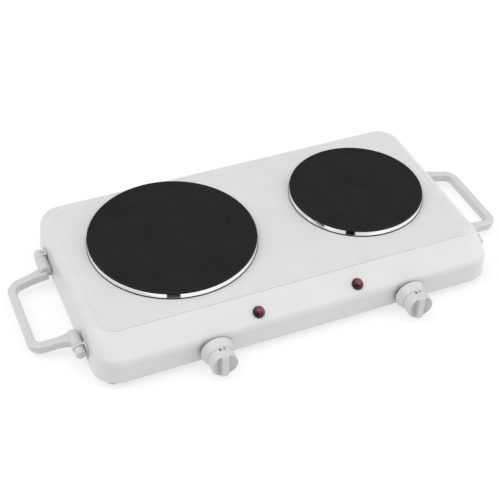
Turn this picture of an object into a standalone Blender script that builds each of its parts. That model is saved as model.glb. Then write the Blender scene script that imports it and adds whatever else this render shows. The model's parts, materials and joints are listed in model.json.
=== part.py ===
"""Two-plate electric hot plate burner.

A pressed-steel housing carries two cast-iron plates, two thermostats with knobs, two signal
lamps and two carrying handles that fold up.  Every dimension is in millimetres and MM turns
it into metres when a mesh is made.  X runs along the long side, Y to the rear and Z up.  Z is
0 at the table.  Sub-parts are drawn about the middle of the housing; FRAME then moves them
so that the origin lies under the middle of the whole object's box.
"""

from math import cos, pi, radians, sin, sqrt, tan

import bmesh
import bpy
from mathutils import Matrix, Vector

MM = 0.001
GAP = 0.3                       # air left between two pieces that touch

# sides of round shapes, by size
LARGE, ROUND, SMALL, TINY = 36, 20, 12, 8

# housing
BODY_W = 462.0
BODY_D = 248.0
CORNER_R = 27.0
SHEET = 1.0
HOUSING_Z = 8.0                 # underside of the turned-in flange
FLANGE_W = 10.0
FLANGE_CORNER_R = 52.0          # wide corners carry the foot screws
DECK_Z = 54.5
DECK_STEP = 1.5                 # the deck stands this far above its border
BORDER_Z = DECK_Z - DECK_STEP
SIDE_BEND = 12.0                # radius between wall and border
SIDE_LEAN = 3.0                 # how far the two end walls lean in over their height
FRONT_WALL_TOP = 28.6
FRONT_BEND = 10.0               # radius between front wall and control strip
STRIP_SLOPE = radians(35.0)

# plates
PLATE_TOP_Z = 63.0
PLATE_Y = 14.7
PLATES = {"large": (-101.5, 93.2), "small": (123.6, 76.9)}      # x of the centre, radius
BODY_INSET = 14.0               # from the plate's rim to its underbody
UNDERBODY_Z = 47.0
STUD_R = 4.0
TERMINAL_D = 12.0               # plate terminal, front to rear

# controls
KNOBS = {"left": -106.2, "right": 120.8}
KNOB_Z = 21.7
KNOB_GAP = 4.0                  # front wall to skirt
KNOB_LENGTH = 25.5
KNOB_SKIRT_R = 17.8
KNOB_DRUM_R = 14.8
GRIP_HALF = 3.2                 # half the width of the grip bar
SHAFT_R = 3.0
THERMOSTAT = (30.0, 24.0, 24.0)
THERMOSTAT_Y = 3.5 - BODY_D / 2  # its front face
SHAFT_IN = 11.5                 # thermostat's front face to the shaft's blind end
SCREW_PITCH = 11.0              # thermostat screws, left and right of the shaft
LAMPS = {"left": -53.0, "right": 62.5}
LAMP_INSET = 11.8               # from the front wall, on the control strip
LENS_R = 6.75

# handles
HANDLE_Y = -0.8
HINGE_Z = 21.5
HINGE_OUT = 6.0                 # foot of the end wall to the hinge axis
DROOP = radians(8.5)            # how far the bar hangs below level at its lower stop
BAR_OUT = 47.1                  # hinge axis to the bar's outer edge
BAR_DROP = 4.25                 # hinge axis down to the middle of the arms
ARM_OUT_Y = 50.0                # middle of the handle to the arms, at the corners
ARM_HUB_Y = 53.8                # the same at the hinge: the arms spread
BAR_W = 9.4
BAR_H = 10.4
BAR_BEND = 12.0
BARREL_R = 6.5
BARREL_START = 50.0             # from the middle of the handle
BARREL_END = 71.0
PIN_R = 2.0
LUG_T = 3.4
CAP_R = 4.7
CAP_LENGTH = 9.0
BRACKET_T = 1.3
BRACKET_LOW, BRACKET_HIGH = 14.0, 29.0

# feet and base
FOOT_X = BODY_W / 2 - 19.0
FOOT_Y = BODY_D / 2 - 16.0
FOOT_H = 6.4
BASE_T = 1.0
BASE_Z = FOOT_H + GAP
SHIELD_Z = 17.0
SHIELD_T = 0.8

# cord entry in the rear wall
GLAND_X = 9.0
GLAND_Z = 24.0
GLAND_OUT = 12.5
TERMINAL_BLOCK_Y = BODY_D / 2 - 32.0  # its front face

# middle of the housing in the finished frame
FRAME_Y = (KNOB_GAP + KNOB_LENGTH - GLAND_OUT) / 2


# ---------------------------------------------------------------- materials

def material(name, colour, roughness, metallic=0.0):
    mat = bpy.data.materials.new(name)
    mat.use_nodes = True
    shader = mat.node_tree.nodes["Principled BSDF"]
    shader.inputs["Base Color"].default_value = (*colour, 1.0)
    shader.inputs["Roughness"].default_value = roughness
    shader.inputs["Metallic"].default_value = metallic
    mat.diffuse_color = (*colour, 1.0)
    return mat


def make_materials():
    return {
        "enamel": material("white_enamel", (0.80, 0.80, 0.79), 0.30),
        "iron": material("black_iron", (0.022, 0.022, 0.023), 0.62),
        "bright": material("bright_steel", (0.75, 0.75, 0.75), 0.16, 1.0),
        "zinc": material("zinc_steel", (0.55, 0.56, 0.58), 0.42, 1.0),
        "plastic": material("white_plastic", (0.78, 0.78, 0.77), 0.38),
        "red": material("red_lens", (0.42, 0.02, 0.04), 0.15),
        "rubber": material("rubber", (0.60, 0.60, 0.59), 0.75),
        "ceramic": material("ceramic", (0.78, 0.74, 0.66), 0.55),
        "dark": material("dark_plastic", (0.06, 0.06, 0.065), 0.5),
        "wire": material("wire_sleeve", (0.55, 0.53, 0.47), 0.7),
        "coil": material("heater_coil", (0.30, 0.24, 0.20), 0.6, 0.8),
    }


# ---------------------------------------------------------------- modelling helpers

def rounded_rect(x0, x1, y0, y1, radius, steps):
    """Corner points of a rounded rectangle, anticlockwise."""
    corners = ((x1, y1, 0), (x0, y1, 90), (x0, y0, 180), (x1, y0, 270))
    points = []
    for x, y, start in corners:
        cx = x - radius if x == x1 else x + radius
        cy = y - radius if y == y1 else y + radius
        for i in range(steps + 1):
            angle = radians(start + 90.0 * i / steps)
            points.append((cx + radius * cos(angle), cy + radius * sin(angle)))
    return points


def loft(loops, cap_first=True, cap_last=True):
    """A skin through closed loops that all have the same number of points."""
    bm = bmesh.new()
    rings = [[bm.verts.new(point) for point in loop] for loop in loops]
    for lower, upper in zip(rings, rings[1:]):
        for i in range(len(lower)):
            j = (i + 1) % len(lower)
            bm.faces.new((lower[i], lower[j], upper[j], upper[i]))
    if cap_first:
        bm.faces.new(rings[0][::-1])
    if cap_last:
        bm.faces.new(rings[-1])
    return bm


def prism(outline, low, high, axis="z"):
    """An outline extruded from low to high along one axis.

    The outline is (x, y) for axis z, (x, z) for axis y and (y, z) for axis x.
    """
    spread = {"z": lambda a, b, c: (a, b, c),
              "y": lambda a, b, c: (a, c, b),
              "x": lambda a, b, c: (c, a, b)}[axis]
    return loft([[spread(a, b, c) for a, b in outline] for c in (low, high)])


def block(x0, x1, y0, y1, z0, z1):
    return prism([(x0, y0), (x1, y0), (x1, y1), (x0, y1)], z0, z1)


def turned(profile, steps, closed=False):
    """A solid of revolution about Z from (radius, height) points."""
    bm = bmesh.new()
    verts = [bm.verts.new((radius, 0, height)) for radius, height in profile]
    ends = verts[1:] + verts[:1] if closed else verts[1:]
    edges = [bm.edges.new(pair) for pair in zip(verts, ends)]
    bmesh.ops.spin(bm, geom=verts + edges, cent=(0, 0, 0), axis=(0, 0, 1), angle=2 * pi,
                   steps=steps, use_merge=True, use_duplicate=False)
    bmesh.ops.remove_doubles(bm, verts=bm.verts, dist=1e-4)
    return bm


def rod(start, end, radius, steps=SMALL):
    """A plain cylinder between two points."""
    start, end = Vector(start), Vector(end)
    bm = turned([(0, 0), (radius, 0), (radius, (end - start).length),
                 (0, (end - start).length)], steps)
    turn = (end - start).to_track_quat("Z", "Y").to_matrix().to_4x4()
    bmesh.ops.transform(bm, matrix=Matrix.Translation(start) @ turn, verts=bm.verts)
    return bm


def merged(parts):
    """Several bodies that don't touch, as one bmesh; used for cutters."""
    whole = bmesh.new()
    for part in parts:
        mesh = bpy.data.meshes.new("piece")
        part.to_mesh(mesh)
        part.free()
        whole.from_mesh(mesh)
        bpy.data.meshes.remove(mesh)
    return whole


class Builder:
    """Makes named objects under the object's frame."""

    def __init__(self):
        self.materials = make_materials()
        self.frame = self.empty("hot_plate_frame", (0, FRAME_Y, 0), None)

    def empty(self, name, location, parent):
        item = bpy.data.objects.new(name, None)
        bpy.context.collection.objects.link(item)
        item.location = [value * MM for value in location]
        item.parent = parent
        return item

    def add(self, name, bm, finish, location=(0, 0, 0), rotation=(0, 0, 0), parent=None):
        """Turns a bmesh drawn in millimetres into an object."""
        bmesh.ops.scale(bm, vec=(MM, MM, MM), verts=bm.verts)
        bmesh.ops.recalc_face_normals(bm, faces=bm.faces)
        mesh = bpy.data.meshes.new(name)
        bm.to_mesh(mesh)
        bm.free()
        mesh.materials.append(self.materials[finish])
        mesh.shade_smooth()
        mesh.set_sharp_from_angle(angle=radians(32))
        item = bpy.data.objects.new(name, mesh)
        bpy.context.collection.objects.link(item)
        item.location = [value * MM for value in location]
        item.rotation_euler = rotation
        item.parent = parent or self.frame
        return item

    def helper(self, target, bm, operation):
        """Cuts a shape from the target, or adds it, with a Boolean."""
        name = f"{target.name}_{operation.lower()}_{len(target.modifiers)}"
        tool = self.add(name, bm, "zinc", parent=target)
        tool.hide_render = True
        tool.display_type = "WIRE"
        boolean = target.modifiers.new(name, "BOOLEAN")
        boolean.operation = operation
        boolean.object = tool
        boolean.solver = "EXACT"

    def cut(self, target, *shapes):
        self.helper(target, merged(shapes), "DIFFERENCE")

    def join(self, target, shape):
        self.helper(target, shape, "UNION")

    def soften(self, target, width, segments=2):
        bevel = target.modifiers.new("edge", "BEVEL")
        bevel.width = width * MM
        bevel.segments = segments
        bevel.limit_method = "ANGLE"
        bevel.angle_limit = radians(40)

    def tube(self, name, points, radius, finish, sides=2):
        """A round tube through points, as a curve with filled caps."""
        data = bpy.data.curves.new(name, "CURVE")
        data.dimensions = "3D"
        data.bevel_depth = radius * MM
        data.bevel_resolution = sides
        data.render_resolution_u = 0
        data.use_fill_caps = True
        spline = data.splines.new("POLY")
        spline.points.add(len(points) - 1)
        for knot, point in zip(spline.points, points):
            knot.co = (*[value * MM for value in point], 1.0)
        data.materials.append(self.materials[finish])
        item = bpy.data.objects.new(name, data)
        bpy.context.collection.objects.link(item)
        item.parent = self.frame
        return item


# ---------------------------------------------------------------- housing

def front_inset(z):
    """How far the front surface lies behind the front wall at height z."""
    turn = pi / 2 - STRIP_SLOPE
    bend_top = FRONT_WALL_TOP + FRONT_BEND * sin(turn)
    if z <= FRONT_WALL_TOP:
        return 0.0
    if z <= bend_top:
        return FRONT_BEND - sqrt(FRONT_BEND ** 2 - (z - FRONT_WALL_TOP) ** 2)
    return FRONT_BEND * (1 - cos(turn)) + (z - bend_top) / tan(STRIP_SLOPE)


def strip_height(inset):
    """Height of the control strip at a distance behind the front wall."""
    turn = pi / 2 - STRIP_SLOPE
    bend_top = FRONT_WALL_TOP + FRONT_BEND * sin(turn)
    return bend_top + (inset - FRONT_BEND * (1 - cos(turn))) * tan(STRIP_SLOPE)


def side_inset(z):
    """How far the left, right and rear surfaces lie inside the walls at height z."""
    rise = z - (BORDER_Z - SIDE_BEND)
    return 0.0 if rise <= 0 else SIDE_BEND - sqrt(SIDE_BEND ** 2 - rise ** 2)


def end_lean(z):
    """How far the end walls have leaned in at height z."""
    share = (z - HOUSING_Z) / (BORDER_Z - SIDE_BEND - HOUSING_Z)
    return SIDE_LEAN * min(share, 1.0)


def housing_loop(z, front, side, rear, radius):
    outline = rounded_rect(-BODY_W / 2 + side, BODY_W / 2 - side,
                           -BODY_D / 2 + front, BODY_D / 2 - rear, radius, 5)
    return [(x, y, z) for x, y in outline]


def housing_loops():
    """Level loops from the flange's inner edge, up the walls and over to the deck."""
    loops = [housing_loop(HOUSING_Z, FLANGE_W, FLANGE_W, FLANGE_W, FLANGE_CORNER_R),
             housing_loop(HOUSING_Z, 1.4, 1.4, 1.4, CORNER_R - 1.4),
             housing_loop(HOUSING_Z + 1.4, 0, 0, 0, CORNER_R)]
    turn = pi / 2 - STRIP_SLOPE
    heights = [FRONT_WALL_TOP + FRONT_BEND * sin(turn * i / 3) for i in range(4)]
    heights += [BORDER_Z - SIDE_BEND + SIDE_BEND * sin(pi / 2 * i / 5) for i in range(6)]
    for z in heights:
        rear = side_inset(z)
        loops.append(housing_loop(z, front_inset(z), rear + end_lean(z), rear, CORNER_R - rear))
    front, side, rear = front_inset(BORDER_Z), SIDE_BEND + SIDE_LEAN, SIDE_BEND
    radius = CORNER_R - SIDE_BEND
    loops.append(housing_loop(BORDER_Z + 0.9, front + 0.6, side + 2.2, rear + 4, radius - 1))
    loops.append(housing_loop(DECK_Z, front + 1.6, side + 5, rear + 9, radius - 2))
    return loops


def lamp_frame(x):
    """Places Z along the control strip's outward normal at one lamp."""
    spot = Vector((x, -BODY_D / 2 + LAMP_INSET, strip_height(LAMP_INSET)))
    return Matrix.Translation(spot) @ Matrix.Rotation(STRIP_SLOPE, 4, "X")


def foot_places():
    return {"front_left": (-FOOT_X, -FOOT_Y), "front_right": (FOOT_X, -FOOT_Y),
            "rear_left": (-FOOT_X, FOOT_Y), "rear_right": (FOOT_X, FOOT_Y)}


def bracket_stud(side, end):
    """Middle of the stud that holds a handle bracket in the side wall."""
    return (side * BODY_W / 2, HANDLE_Y + end * (BARREL_END + 7.0), HINGE_Z)


def build_housing(b):
    housing = b.add("top_housing", loft(housing_loops(), cap_first=False), "enamel")
    shell = housing.modifiers.new("sheet", "SOLIDIFY")
    shell.thickness = SHEET * MM
    shell.offset = -1.0
    shell.use_even_offset = True
    holes = []
    for x, radius in PLATES.values():
        holes.append(rod((x, PLATE_Y, BORDER_Z - 6), (x, PLATE_Y, DECK_Z + 3), radius - 12, LARGE))
    wall = -BODY_D / 2
    for x in KNOBS.values():
        holes.append(rod((x, wall - 3, KNOB_Z), (x, wall + 3, KNOB_Z), 5.4))
        for dx in (-SCREW_PITCH, SCREW_PITCH):
            holes.append(rod((x + dx, wall - 3, KNOB_Z), (x + dx, wall + 3, KNOB_Z), 2.0, TINY))
    for x in LAMPS.values():
        hole = rod((0, 0, -4), (0, 0, 4), 5.2)
        bmesh.ops.transform(hole, matrix=lamp_frame(x), verts=hole.verts)
        holes.append(hole)
    for x, y in foot_places().values():
        holes.append(rod((x, y, HOUSING_Z - 2), (x, y, HOUSING_Z + 3), 2.5, TINY))
    for side in (-1, 1):
        for end in (-1, 1):
            x, y, z = bracket_stud(side, end)
            holes.append(rod((x - 3, y, z), (x + 3, y, z), 3.0, TINY))
    holes.append(rod((GLAND_X, -wall - 3, GLAND_Z), (GLAND_X, -wall + 3, GLAND_Z), 6.8))
    b.cut(housing, *holes)


def build_base(b):
    inset = 1.5
    outline = rounded_rect(-BODY_W / 2 + inset, BODY_W / 2 - inset, -BODY_D / 2 + inset,
                           BODY_D / 2 - inset, CORNER_R - inset, 5)
    base = b.add("base_plate", prism(outline, BASE_Z, BASE_Z + BASE_T), "zinc")
    cutters = [rod((x, y, BASE_Z - 2), (x, y, BASE_Z + 3), 2.5, TINY)
               for x, y in foot_places().values()]
    for x, _ in PLATES.values():
        for row in (-1, 1):
            for i in range(7):
                mid = x + (i - 3) * 11.0
                y = PLATE_Y + row * 34.0
                cutters.append(block(mid - 1.8, mid + 1.8, y - 20, y + 20,
                                     BASE_Z - 2, BASE_Z + 3))
    b.cut(base, *cutters)

    left, right = -205.0, 205.0
    top, low = SHIELD_Z + SHIELD_T, BASE_Z + BASE_T + GAP
    outline = [(left, low), (left, top), (right, top), (right, low),
               (right - SHIELD_T, low), (right - SHIELD_T, SHIELD_Z),
               (left + SHIELD_T, SHIELD_Z), (left + SHIELD_T, low)]
    b.add("heat_shield", prism(outline, -78.0, 80.0, "y"), "bright")


def build_feet(b):
    foot = [(2.4, FOOT_H), (9.0, FOOT_H), (9.0, 5.2), (8.2, 0.6), (7.6, 0.0), (4.4, 0.0),
            (4.4, 3.2), (2.4, 3.2)]
    screw = [(0, 0.8), (3.2, 0.8), (3.8, 1.5), (3.8, 2.9), (PIN_R, 2.9), (PIN_R, 12.4),
             (0, 13.0)]
    for name, (x, y) in foot_places().items():
        b.add(f"{name}_foot", turned(foot, SMALL, closed=True), "rubber", (x, y, 0))
        b.add(f"{name}_foot_screw", turned(screw, TINY), "zinc", (x, y, 0))


# ---------------------------------------------------------------- plates

def plate_profile(radius):
    """Cast plate: flat top, thin rim, grooved underbody and a central stud."""
    top, groove = PLATE_TOP_Z, UNDERBODY_Z + 9.0
    body = radius - BODY_INSET
    return [(0, top), (radius - 1.3, top), (radius - 0.3, top - 0.4), (radius, top - 1.3),
            (radius, top - 2.4), (body, top - 2.4), (body, UNDERBODY_Z),
            (body - 6, UNDERBODY_Z), (body - 6, groove), (26, groove), (26, UNDERBODY_Z),
            (STUD_R, UNDERBODY_Z), (STUD_R, 31.0), (0, 31.0)]


def ring_profile(radius):
    """Bright trim ring: an annulus under the plate's rim and a skirt down to the deck."""
    top, low = PLATE_TOP_Z - 2.4 - GAP, DECK_Z + GAP
    inner = radius - BODY_INSET + 0.6
    return [(inner, top), (radius - 1.8, top), (radius - 1.0, top - 0.7),
            (radius - 0.6, low + 1.0), (radius + 0.6, low), (radius - 0.7, low),
            (radius - 1.5, low + 1.0), (radius - 1.9, top - 0.8), (inner, top - 0.8)]


def coil_points(x, radius):
    """A flat spiral of heating coil in the plate's groove."""
    inner, outer = 32.0, radius - BODY_INSET - 6 - 6.0
    turns = round((outer - inner) / 12.0)
    steps = 14 * turns
    points = []
    for i in range(steps + 1):
        share = i / steps
        angle = 2 * pi * turns * share
        r = inner + (outer - inner) * share
        points.append((x + r * cos(angle), PLATE_Y + r * sin(angle), UNDERBODY_Z + 4.6))
    return points


def strap_outline(x, radius):
    """Side view of the clamp strap that hangs under the deck and draws the plate down."""
    inner, leg, pad = radius - 13, radius - 11, radius - 4
    top = DECK_Z - SHEET - GAP
    floor, under = 42.6, 40.6
    half = [(-pad, top), (-inner, top), (-inner, floor)]
    lower = [(-leg, under), (-leg, top - 2), (-pad, top - 2)]
    mirrored = [(-px, pz) for px, pz in half[::-1]]
    lower_right = [(-px, pz) for px, pz in lower[::-1]]
    return [(x + px, pz) for px, pz in half + mirrored + lower_right + lower]


def terminal_y(radius):
    """Middle of a plate's terminal, in front of the plate's centre."""
    return PLATE_Y - (radius - 34)


def build_plate(b, size):
    x, radius = PLATES[size]
    centre = (x, PLATE_Y, 0)
    b.add(f"{size}_plate", turned(plate_profile(radius), LARGE), "iron", centre)
    b.add(f"{size}_trim_ring", turned(ring_profile(radius), LARGE, True), "bright", centre)
    b.tube(f"{size}_heating_coil", coil_points(x, radius), 2.6, "coil", sides=1)

    cover_low, cover_top = UNDERBODY_Z - GAP - 1.2, UNDERBODY_Z - GAP
    cover = [(4.8, cover_top), (radius - 15, cover_top), (radius - 15, cover_low),
             (4.8, cover_low)]
    b.add(f"{size}_plate_cover", turned(cover, ROUND, closed=True), "zinc", centre)

    strap = b.add(f"{size}_clamp_strap",
                  prism(strap_outline(x, radius), PLATE_Y - 9, PLATE_Y + 9, "y"), "zinc")
    b.cut(strap, rod((x, PLATE_Y, 38), (x, PLATE_Y, 45), 4.8))

    hexagon = [(7.5 * cos(pi / 3 * i), 7.5 * sin(pi / 3 * i)) for i in range(6)]
    nut = b.add(f"{size}_clamp_nut", prism(hexagon, 33.8, 40.3), "zinc", centre)
    b.cut(nut, rod((0, 0, 30), (0, 0, 44), STUD_R + 0.4))

    fixing = cover_low - GAP
    y = terminal_y(radius)
    terminal = b.add(f"{size}_plate_terminal",
                     block(x - 13, x + 13, y - TERMINAL_D / 2, y + TERMINAL_D / 2,
                           fixing - 9, fixing), "ceramic")
    b.cut(terminal, *[rod((x + dx, y, fixing - 12), (x + dx, y, fixing - 4), 2.2, TINY)
                      for dx in (-7, 7)])
    cutout = [(0, fixing), (8, fixing), (8, fixing - 4), (6, fixing - 4),
              (6, fixing - 7.5), (0, fixing - 7.5)]
    b.add(f"{size}_thermal_cutout", turned(cutout, SMALL), "dark",
          (x, PLATE_Y + radius - 40, 0))


# ---------------------------------------------------------------- controls

def knob_profile():
    """Height runs from the skirt's rear edge to the front of the grip bar."""
    skirt, drum, end = KNOB_SKIRT_R, KNOB_DRUM_R, KNOB_LENGTH
    return [(0, 18), (SHAFT_R + 0.35, 18), (SHAFT_R + 0.35, 0.8), (6.5, 0.8), (6.5, 9),
            (drum - 2.5, 9), (skirt - 2, 0), (skirt, 0), (skirt, 1.5), (drum - 0.1, 11),
            (drum - 0.7, 11.3), (drum - 0.7, 12.2), (drum, 12.5), (drum, end - 1.6),
            (drum - 0.5, end - 0.5), (drum - 1.6, end), (0, end)]


def build_knob(b, side):
    """Knob and shaft turn together about the empty on their axis."""
    x = KNOBS[side]
    skirt_y = -BODY_D / 2 - KNOB_GAP
    axis = b.empty(f"{side}_knob_axis", (x, skirt_y, KNOB_Z), b.frame)
    facing_front = Matrix.Rotation(pi / 2, 4, "X")
    body = turned(knob_profile(), ROUND)
    bmesh.ops.transform(body, matrix=facing_front, verts=body.verts)
    knob = b.add(f"{side}_knob", body, "plastic", parent=axis)

    scoop_r, scoop_out = 9.0, 3.0
    reach = GRIP_HALF + sqrt(scoop_r ** 2 - scoop_out ** 2)
    front = -KNOB_LENGTH - scoop_out
    b.cut(knob, *[rod((s * reach, front, -22), (s * reach, front, 22), scoop_r, ROUND)
                  for s in (-1, 1)])

    rear_y, front_y = THERMOSTAT_Y + SHAFT_IN - skirt_y, -17.0
    shaft = b.add(f"{side}_thermostat_shaft",
                  rod((0, rear_y, 0), (0, front_y, 0), SHAFT_R), "zinc", parent=axis)
    b.cut(shaft, block(-5, 5, front_y - 2, 0, SHAFT_R - 0.8, SHAFT_R + 2))


def build_thermostat(b, side):
    x = KNOBS[side]
    width, depth, height = THERMOSTAT
    y = THERMOSTAT_Y
    inner_wall = -BODY_D / 2 + SHEET
    body = b.add(f"{side}_thermostat",
                 block(x - width / 2, x + width / 2, y, y + depth,
                       KNOB_Z - height / 2, KNOB_Z + height / 2), "ceramic")
    b.soften(body, 1.0, 1)
    b.join(body, rod((x, inner_wall + GAP, KNOB_Z), (x, y + 2, KNOB_Z), 6.5))
    b.cut(body, rod((x, inner_wall - 2, KNOB_Z), (x, y + SHAFT_IN + 1, KNOB_Z), SHAFT_R + 0.4),
          *[rod((x + dx, y - 4, KNOB_Z), (x + dx, y + SHAFT_IN - 1.5, KNOB_Z), 2.0, TINY)
            for dx in (-SCREW_PITCH, SCREW_PITCH)])

    screw = [(0, -2.5), (2.4, -2.5), (3.4, -1.7), (3.4, -GAP), (1.6, -GAP), (1.6, 11.5),
             (0, 11.5)]
    for place, dx in (("left", -SCREW_PITCH), ("right", SCREW_PITCH)):
        shape = turned(screw, TINY)
        bmesh.ops.transform(shape, matrix=Matrix.Rotation(-pi / 2, 4, "X"), verts=shape.verts)
        b.add(f"{side}_thermostat_{place}_screw", shape, "zinc",
              (x + dx, -BODY_D / 2, KNOB_Z))


def build_lamp(b, side):
    lens = [(0, 6.2), (2.4, 5.9), (4.6, 4.7), (6.1, 2.9), (LENS_R, 1.2), (LENS_R, GAP),
            (4.6, GAP), (4.6, -5), (0, -5)]
    holder = [(0, -5.6), (5.1, -5.6), (5.1, -SHEET - 0.5), (6.6, -SHEET - 0.5),
              (6.6, -15), (3, -18), (0, -18)]
    for name, profile, finish in (("lamp_lens", lens, "red"),
                                  ("lamp_holder", holder, "dark")):
        shape = turned(profile, SMALL)
        bmesh.ops.transform(shape, matrix=lamp_frame(LAMPS[side]), verts=shape.verts)
        b.add(f"{side}_{name}", shape, finish)


# ---------------------------------------------------------------- handles

def bar_path():
    """Centre line of the bar in its own level frame, from the front hub to the rear hub.

    X runs outward from the hinge axis; each point carries how far the bar has flared.
    """
    out = BAR_OUT - BAR_W / 2
    arm = [(0.0, 1.0), (5.0, 0.8), (11.0, 0.35), (18.0, 0.0), (out - BAR_BEND, 0.0)]
    spread = (ARM_HUB_Y - ARM_OUT_Y) / (out - BAR_BEND)
    front = [(x, -ARM_HUB_Y + spread * x, flare) for x, flare in arm]
    front += [(out - BAR_BEND * (1 - sin(angle)), -ARM_OUT_Y + BAR_BEND * (1 - cos(angle)), 0.0)
              for angle in (radians(22.5 * i) for i in range(1, 5))]
    return front + [(x, -y, flare) for x, y, flare in front[::-1]]


def bar_section(width, height):
    """Rounded section, (across, up)."""
    return rounded_rect(-width / 2, width / 2, -height / 2, height / 2, 2.4, 1)


def handle_bar(side):
    """The bar swept along its path; side is -1 at the left and 1 at the right."""
    path = bar_path()
    loops = []
    for i, (x, y, flare) in enumerate(path):
        before, after = path[max(i - 1, 0)], path[min(i + 1, len(path) - 1)]
        along = Vector((after[0] - before[0], after[1] - before[1], 0)).normalized()
        across = Vector((-along.y, along.x, 0))
        section = bar_section(BAR_W + 5.0 * flare, BAR_H)
        loop = [Vector((x, y, -BAR_DROP)) + across * a + Vector((0, 0, up)) for a, up in section]
        loops.append([(side * p.x, p.y, p.z) for p in loop])
    bar = loft(loops)
    bmesh.ops.transform(bar, matrix=Matrix.Rotation(side * DROOP, 4, "Y"), verts=bar.verts)
    return bar


def build_handle(b, name, side):
    hinge_x = side * (BODY_W / 2 + HINGE_OUT)
    hinge = b.empty(f"{name}_handle_hinge", (hinge_x, HANDLE_Y, HINGE_Z), b.frame)
    handle = b.add(f"{name}_handle", handle_bar(side), "plastic", parent=hinge)
    for end in (-1, 1):
        b.join(handle, rod((0, end * BARREL_START, 0), (0, end * BARREL_END, 0), BARREL_R))
        # the heel meets the wall when the handle hangs at its lower stop
        heel_low = -BARREL_R - 1.1
        wall = HINGE_OUT + end_lean(HINGE_Z + heel_low) - 2 * GAP
        x0, x1 = sorted((-side * 1.0, -side * wall))
        y0, y1 = sorted((end * (BARREL_START + 1), end * (BARREL_START + 10)))
        b.join(handle, block(x0, x1, y0, y1, heel_low, -3.0))
    b.cut(handle, *[rod((0, end * (BARREL_START + 3), 0), (0, end * (BARREL_END + 2), 0),
                        PIN_R + 0.4) for end in (-1, 1)])

    for place, end in (("front", -1), ("rear", 1)):
        build_hinge(b, f"{name}_{place}", side, end)


def build_hinge(b, name, side, end):
    """Bracket on the side wall, with a lug that holds a capped pin."""
    hinge_x = side * (BODY_W / 2 + HINGE_OUT)
    lug_in = HANDLE_Y + end * (BARREL_END + GAP)
    lug_out = lug_in + end * LUG_T
    tip = HANDLE_Y + end * (BARREL_END + 2 * GAP + LUG_T + CAP_LENGTH)

    def off_wall(z, out):
        """A point out from the leaning end wall at height z."""
        return (side * (BODY_W / 2 - end_lean(z) + out), z)

    back, face = GAP, GAP + BRACKET_T
    foot = [off_wall(BRACKET_LOW, back), off_wall(BRACKET_HIGH, back),
            off_wall(BRACKET_HIGH, face), off_wall(BRACKET_LOW, face)]
    bracket = b.add(f"{name}_bracket", prism(foot, *sorted((lug_in, tip)), "y"), "plastic")
    eye = BARREL_R - 0.2
    lug = [off_wall(HINGE_Z - eye, 2 * GAP), off_wall(HINGE_Z + eye, 2 * GAP)]
    lug += [(hinge_x + side * eye * sin(radians(a)), HINGE_Z + eye * cos(radians(a)))
            for a in range(0, 181, 30)]
    b.join(bracket, prism(lug, *sorted((lug_in, lug_out)), "y"))
    x, y, z = bracket_stud(side, end)
    plate_x = off_wall(z, GAP + 0.5)[0]
    b.join(bracket, rod((plate_x, y, z), (plate_x - side * 5.0, y, z), 2.4, TINY))
    b.cut(bracket, rod((hinge_x, lug_in - end * 2, z), (hinge_x, lug_out + end * 2, z),
                       PIN_R + 0.4))

    start = BARREL_START + 4.0                  # blind end of the pin in the barrel
    seat = BARREL_END + 2 * GAP + LUG_T
    end_y = seat + CAP_LENGTH
    pin = [(0, start), (PIN_R, start), (PIN_R, seat), (CAP_R, seat), (CAP_R, end_y - 1.6),
           (CAP_R - 0.6, end_y - 0.5), (CAP_R - 2.0, end_y), (0, end_y)]
    shape = turned(pin, SMALL)
    bmesh.ops.transform(shape, matrix=Matrix.Rotation(-end * pi / 2, 4, "X"),
                        verts=shape.verts)
    b.add(f"{name}_hinge_pin", shape, "plastic", (hinge_x, HANDLE_Y, HINGE_Z))


# ---------------------------------------------------------------- mains parts

def build_gland(b):
    """Snap-in cord bush in the rear wall, open right through."""
    bore, neck = 3.8, 6.3
    profile = [(bore, -6), (9, -6), (9, -SHEET - GAP), (neck, -SHEET - GAP), (neck, GAP),
               (9, GAP), (9, 3.3), (7.4, 3.8), (6.0, GLAND_OUT), (bore, GLAND_OUT)]
    shape = turned(profile, 16, closed=True)
    bmesh.ops.transform(shape, matrix=Matrix.Rotation(-pi / 2, 4, "X"), verts=shape.verts)
    b.add("cord_gland", shape, "dark", (GLAND_X, BODY_D / 2, GLAND_Z))


def build_terminal_block(b):
    low = BASE_Z + BASE_T + GAP
    x0, y0 = GLAND_X - 18, TERMINAL_BLOCK_Y
    mains = b.add("mains_terminal_block", block(x0, x0 + 36, y0, y0 + 16, low, low + 14),
                  "ceramic")
    b.cut(mains, *[rod((GLAND_X + dx, y0 + 8, low + 5), (GLAND_X + dx, y0 + 8, low + 18),
                       2.4, TINY) for dx in (-11, 0, 11)])


def smooth_route(knots, steps):
    """Points on a smooth curve through a few knots, by Hermite segments."""
    knots = [Vector(k) for k in knots]
    before, after = [knots[0]] + knots[:-1], knots[1:] + [knots[-1]]
    headings = [(k2 - k0).normalized() for k0, k2 in zip(before, after)]
    points = []
    for k0, k1, h0, h1 in zip(knots, knots[1:], headings, headings[1:]):
        span = (k1 - k0).length
        for i in range(steps):
            t = i / steps
            points.append(k0 * (2 * t ** 3 - 3 * t ** 2 + 1) + k1 * (3 * t ** 2 - 2 * t ** 3)
                          + h0 * span * (t ** 3 - 2 * t ** 2 + t)
                          + h1 * span * (t ** 3 - t ** 2))
    return points + [knots[-1]]


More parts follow.
